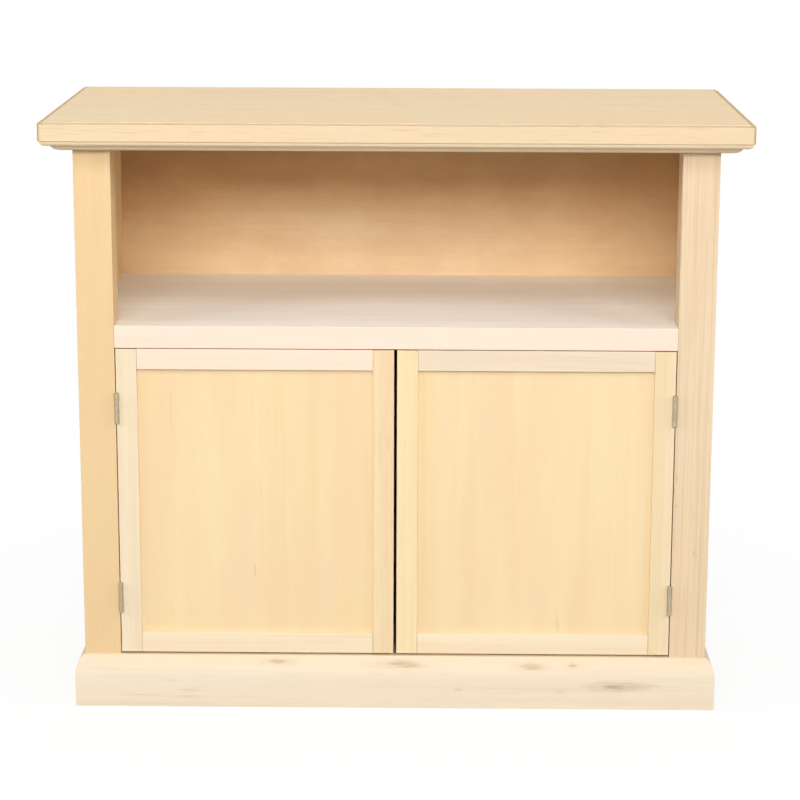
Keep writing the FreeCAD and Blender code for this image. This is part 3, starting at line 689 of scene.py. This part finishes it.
# Each board: grain, tone, tint, and what sets its figure apart.
TENON = 7 * MM
SMOOTH_PANEL = Figure(
    streaks=0.08, lines=0.05, dashes=0.03, pores=0.015, fibres=0.015, grit=0.15, clouds=0.5)
PLINTH_KNOTS = (
    (-155, 62, 13, 3.6, 1), (-155, 62, 34, 6, 0.3), (12, 60, 24, 5.5, 0.95), (5, 60, 48, 7, 0.35),
    (181, 58, 17, 4.6, 0.9), (181, 58, 32, 6.5, 0.25), (236, 60, 8, 3, 1), (238, 60, 22, 6, 0.15),
    (292, 32, 24, 4.6, 0.82), (296, 32, 48, 9, 0.42), (332, 33, 30, 2.4, 0.3), (84, 26, 8, 2.6, 0.25),
    (219, 25, 9, 4, 0.2), (-298, 36, 14, 2.2, 0.2), (-268, 23, 20, 2.4, 0.22), (-276, 14, 22, 2.4, 0.2),
    (-338, 16, 34, 2, 0.18))
POST_FLECKS = (
    (392, 213, 1.6, 4, 0.35), (396, 209, 1.6, 4, 0.3), (396, 169, 1.5, 5, 0.15),
    (364, 331, 1.2, 9, 0.35), (366, 315, 1.2, 9, 0.4), (364, 296, 1.3, 10, 0.35),
    (367, 277, 3, 3, 0.4), (374, 276, 3, 1.5, 0.15), (379, 393, 1.2, 24, 0.12),
    (397, 326, 1.2, 30, 0.14), (381, 149, 1.2, 20, 0.16))
LOCK_STILE_FLECKS = ((-20, 350, 3, 28, 0.12), (-9.5, 362, 2, 14, 0.15))
LEFT_PANEL_FLECKS = (
    (-292, 400, 1.4, 34, 0.2), (-186.5, 408, 1.4, 14, 0.15), (-176.5, 368, 1.3, 14, 0.12),
    (-185, 184, 1.4, 9, 0.3))
RIGHT_PANEL_FLECKS = ((214.5, 113, 3, 16, 0.18), (217, 106, 1.5, 10, 0.2))
BOARDS = {
    "top_board": ("X", "top", "dry", Figure(
        streaks=0.15, dashes=0.32, fibres=0.03, pores=0.03, clouds=0.6,
        staves=(0.085, 0.03), worked_edge=6 * MM)),
    # The mouldings' tint is painted light, for the shade under the top.
    "top_moulding_front": ("X", "top", "painted_light_neutral", Figure(streaks=0.15)),
    "top_moulding_left": ("Y", "top", "painted_light_neutral", Figure(streaks=0.15)),
    "top_moulding_right": ("Y", "top", "painted_light_neutral", Figure(streaks=0.15)),
    "plinth_front": ("X", "milk", "dry", Figure(
        upper_painted_shade=0.42, streaks=0.25, lines=0.25, dashes=0.12, flecks=PLINTH_KNOTS)),
    "plinth_left": ("Y", "milk", "dry", Figure(upper_painted_shade=0.42, streaks=0.25)),
    "plinth_right": ("Y", "milk", "dry", Figure(upper_painted_shade=0.42, streaks=0.25)),
    "post_left": ("Z", "amber", "dry", Figure(streaks=0.25, dashes=0.05)),
    "post_right": ("Z", "rosy", "light", Figure(
        streaks=0.15, lines=0.3, combed=0.23, dashes=0.06, lean=0.01, flecks=POST_FLECKS)),
    # The sides' and shelf's tint is painted light, for the shade in the niche.
    "side_left": ("Z", "straw", "painted_light_pale", Figure(streaks=0.25, staves=(0.07, 0.0))),
    "side_right": ("Z", "cream", "painted_light_pale", Figure(streaks=0.25, staves=(0.07, 0.02))),
    "shelf_board": ("X", "shelf", "painted_light_pale", Figure(streaks=0.25, staves=(0.08, 0.0))),
    "shelf_rail": ("X", "milk", "rosy", Figure(streaks=0.12, lines=0.15, upper_painted_light=paint(252, 246, 236))),
    "base_rail": ("X", "cream", "plain", Figure()),
    "floor_board": ("X", "cream", "plain", Figure(staves=(0.08, 0.03))),
    "left_door_hinge_stile": ("Z", "cream", "dry", Figure(streaks=0.12)),
    "left_door_lock_stile": ("Z", "peach", "dry", Figure(
        streaks=0.4, dashes=0.15, flecks=LOCK_STILE_FLECKS)),
    "left_door_top_rail": ("X", "milk", "rosy", Figure(streaks=0.1, lines=0.15, shoulder=TENON)),
    "left_door_bottom_rail": ("X", "cream", "plain", Figure(streaks=0.2, shoulder=TENON)),
    "left_door_panel": ("Z", "straw", "honey", SMOOTH_PANEL._replace(
        staves=(0.1, 0.005), flecks=LEFT_PANEL_FLECKS)),
    "right_door_hinge_stile": ("Z", "straw", "cool", Figure(streaks=0.3)),
    "right_door_lock_stile": ("Z", "straw", "light", Figure(streaks=0.12)),
    "right_door_top_rail": ("X", "cream", "cool", Figure(
        streaks=0.4, veins=0.2, lean=0.12, shoulder=TENON)),
    "right_door_bottom_rail": ("X", "cream", "plain", Figure(streaks=0.2, shoulder=TENON)),
    "right_door_panel": ("Z", "straw", "honey", SMOOTH_PANEL._replace(
        staves=(0.1, -0.028), flecks=RIGHT_PANEL_FLECKS)),
    "catch_block": ("X", "cream", "plain", Figure()),
}
for level in ("top", "shelf", "floor"):
    for side in ("left", "right"):
        BOARDS[f"cleat_{level}_{side}"] = ("Y", "cream", "plain", Figure())

FIRST_SEED, SEED_GAP, DOWEL_SEED = 1.0, 1.31, 60.0
WOOD = {}
for number, (node, (grain, tone, tint, figure)) in enumerate(BOARDS.items()):
    seed = FIRST_SEED + SEED_GAP * number
    WOOD[node] = RawWood(node + "_wood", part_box(node), grain, tone, tint, seed, figure).finished()


def sagitta_radius(run, rise):
    """Radius of a round that ends level after going in by run and down by rise."""
    return (run ** 2 + rise ** 2) / (2 * rise)


def in_metres(corners):
    return [tuple(distance * MM for distance in corner) for corner in corners]


# Section of the moulding under the top, in mm from its front and its underside: a fillet and a small
# ovolo above, a step, a wide ovolo and a toe below.
TOE, WIDE_RUN, WIDE_RISE = 0.5, 10, 6.2
OVOLO_LOW, OVOLO_RUN, OVOLO_RISE, STEP_IN = 7.2, 6.5, 4.8, 12
MOULD_HEIGHT, MOULD_DEPTH = 13.2, 36.5
MOULDING = [
    (0, MOULD_HEIGHT),
    (0, OVOLO_LOW + OVOLO_RISE, OVOLO_RUN, OVOLO_LOW + sagitta_radius(OVOLO_RUN, OVOLO_RISE)),
    (OVOLO_RUN, OVOLO_LOW), (STEP_IN, OVOLO_LOW),
    (STEP_IN, TOE + WIDE_RISE, STEP_IN + WIDE_RUN, TOE + sagitta_radius(WIDE_RUN, WIDE_RISE)),
    (STEP_IN + WIDE_RUN, TOE), (STEP_IN + WIDE_RUN, 0), (MOULD_DEPTH, 0), (MOULD_DEPTH, MOULD_HEIGHT)]
# Section of the plinth, in mm: an upright face that rounds back to a narrow level top.
PLINTH_THICK, PLINTH_HEIGHT, PLINTH_UPRIGHT, ROUND_IN = 12.5, 69, 43, 10.5
PLINTH_RADIUS = sagitta_radius(PLINTH_HEIGHT - PLINTH_UPRIGHT, ROUND_IN)
PLINTH = [
    (0, 0), (PLINTH_THICK, 0), (PLINTH_THICK, PLINTH_HEIGHT),
    (ROUND_IN, PLINTH_HEIGHT, PLINTH_RADIUS, PLINTH_UPRIGHT), (0, PLINTH_UPRIGHT)]

moulded_top(WOOD["top_board"])
run_round("top_moulding", in_metres(MOULDING), WOOD)
run_round("plinth", in_metres(PLINTH), WOOD)
# The door panels keep their CAD shapes: every edge of theirs is hidden in a groove.
for node, material in WOOD.items():
    if node.endswith("panel"):
        frame["nodes"][node].material_slots[0].material = material
    elif not node.startswith(("top_board", "top_moulding", "plinth")):
        eased(node, material)

hinge_plating = plated_steel("hinge_plating", (0.46, 0.39, 0.28, 1), dull=0.42, seed=1.0)
zinc = plated_steel("screw_zinc", (0.66, 0.65, 0.6, 1), dull=0.36, seed=2.0)
nickel = plated_steel("catch_nickel", (0.62, 0.6, 0.57, 1), dull=0.3, seed=3.0)
plastic = moulded_plastic("catch_plastic", paint(236, 230, 216), seed=4.0)
beech = RawWood("dowel_beech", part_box("rail_dowels"), "X", "peach", "plain", DOWEL_SEED,
                Figure()).finished()
plywood = back_plywood("back_panel_plywood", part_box("back_panel"))
for node, part in frame["nodes"].items():
    if node.startswith(("hinge_screws", "strike_screw")) or node.endswith(("_screws", "_nails")):
        part.material_slots[0].material = zinc
    elif node.startswith("hinge"):
        part.material_slots[0].material = hinge_plating
    elif node.startswith(("strike_plate", "catch_magnet")):
        part.material_slots[0].material = nickel
    elif node.startswith("catch_housing"):
        part.material_slots[0].material = plastic
    elif node == "rail_dowels":
        part.material_slots[0].material = beech
    elif node == "back_panel":
        part.material_slots[0].material = plywood


# The studio.

WHITE = (1, 1, 1, 1)
FLOOR_HALF, FLOOR_DROP = 9, 0.3 * MM
FLOOR_COAT, FLOOR_BOUNCE = (0.95, 0.95, 0.95, 1), (0.4, 0.4, 0.4, 1)
SHADOW_NEAR, SHADOW_GONE, SHADOW = 0.45, 1.1, 0.14
# Camera, fitted to the edges in the photograph: focal length in its pixels, turns in degrees, place in m.
PHOTO_WIDTH, FOCAL_PIXELS, SENSOR = 800, 2483.7, 36
PITCH, ROLL, YAW = 13.082, 0.203, -0.627
CAMERA_SPOT = (0.0401, -3.3094, 1.1455)
CLIP_END = 60


def seen_directly(finish):
    """1 for what the camera, a reflection or a clear piece looks at."""
    path = finish.node("ShaderNodeLightPath").socket.node.outputs
    camera, glossy, clear = (Amount(finish, path[name]) for name in (
        "Is Camera Ray", "Is Glossy Ray", "Is Transmission Ray"))
    return camera.higher(glossy).higher(clear)


def stage_floor():
    """White floor that keeps a faint shadow near the cabinet, and gives back less light than it shows."""
    shell = bmesh.new()
    bmesh.ops.create_grid(shell, x_segments=1, y_segments=1, size=FLOOR_HALF)
    bmesh.ops.translate(shell, verts=shell.verts, vec=(0, 0, -FLOOR_DROP))
    mesh = bpy.data.meshes.new("studio_floor")
    shell.to_mesh(mesh)
    shell.free()
    floor = bpy.data.objects.new("studio_floor", mesh)
    bpy.context.scene.collection.objects.link(floor)
    f = Finish("studio_floor_paint")
    seen = seen_directly(f)
    x, y, _ = f.split(f.place())
    far = f.rise((x * x + y * y) ** 0.5, SHADOW_NEAR, SHADOW_GONE)
    coat = f.blend(seen, FLOOR_BOUNCE, FLOOR_COAT)
    matt = f.node("ShaderNodeBsdfDiffuse", sockets={"Color": coat})
    white = f.node("ShaderNodeEmission", sockets={"Color": WHITE, "Strength": 1.0})
    share = seen * (1 - SHADOW + far * SHADOW)
    f.output(f.node("ShaderNodeMixShader", sockets={0: share, 1: matt, 2: white}))
    mesh.materials.append(f.material)


class Surround(Finish):
    """The studio's white surround, as the world's nodes."""

    def __init__(self, name):
        self.material = bpy.data.worlds.new(name)
        self.clear()


def stage_world():
    """White where it is looked at or mirrored, and a source of no other light."""
    f = Surround("studio_surround")
    shader = f.node("ShaderNodeBackground", sockets={"Color": WHITE, "Strength": seen_directly(f)})
    f.node("ShaderNodeOutputWorld", sockets={"Surface": shader})
    bpy.context.scene.world = f.material


def softbox(name, spot, aim, width, height, power):
    """Rectangular lamp at a spot, turned to what it is aimed at. Lengths are in m, power is in watts."""
    lamp = bpy.data.lights.new(name, "AREA")
    lamp.shape = "RECTANGLE"
    lamp.size, lamp.size_y = width, height
    lamp.energy = power
    holder = bpy.data.objects.new(name, lamp)
    bpy.context.scene.collection.objects.link(holder)
    holder.location = spot
    holder.rotation_euler = (Vector(aim) - Vector(spot)).to_track_quat("-Z", "Y").to_euler()
    holder.visible_camera = False


def stage_camera():
    """Camera at the viewpoint of the photograph: a little right of the middle, looking down."""
    lens = bpy.data.cameras.new("camera")
    lens.sensor_width = SENSOR
    lens.lens = FOCAL_PIXELS * SENSOR / PHOTO_WIDTH
    lens.clip_end = CLIP_END
    camera = bpy.data.objects.new("camera", lens)
    bpy.context.scene.collection.objects.link(camera)
    pitch, roll, yaw = (math.radians(turn) for turn in (PITCH, ROLL, YAW))
    level = Vector((math.sin(yaw), math.cos(yaw), 0))
    ahead = level * math.cos(pitch) - Vector((0, 0, math.sin(pitch)))
    right = Vector((math.cos(yaw), -math.sin(yaw), 0))
    above = right.cross(ahead)
    turned_right = right * math.cos(roll) + above * math.sin(roll)
    turned_above = above * math.cos(roll) - right * math.sin(roll)
    turn = Matrix((turned_right, turned_above, -ahead)).transposed()
    camera.matrix_world = Matrix.Translation(CAMERA_SPOT) @ turn.to_4x4()
    bpy.context.scene.camera = camera


stage_floor()
stage_world()
MIDDLE = (0, -0.17, 0.45)
softbox("front_softbox", (0, -5.71, 2.75), MIDDLE, width=4.4, height=1.5, power=281)
softbox("high_softbox", (0, -4.18, 4.91), MIDDLE, width=4.4, height=0.9, power=47)
softbox("rear_softbox", (0, 0.9, 4.2), (0, 0.1, 0.78), width=3.0, height=1.6, power=64)
softbox("back_softbox", (0, 5.2, 0.42), (0, 0.2, 0.42), width=3.0, height=0.7, power=110)
for side, sign in (("left", -1), ("right", 1)):
    softbox(side + "_softbox", (sign * 4.67, -2.87, 3.08), MIDDLE, width=1.8, height=1.2, power=75)
    softbox(side + "_flank_softbox", (sign * 5.55, -1.15, 2.5), MIDDLE, width=1.8, height=1.2, power=75)
stage_camera()
bpy.context.scene.view_settings.view_transform = "Standard"
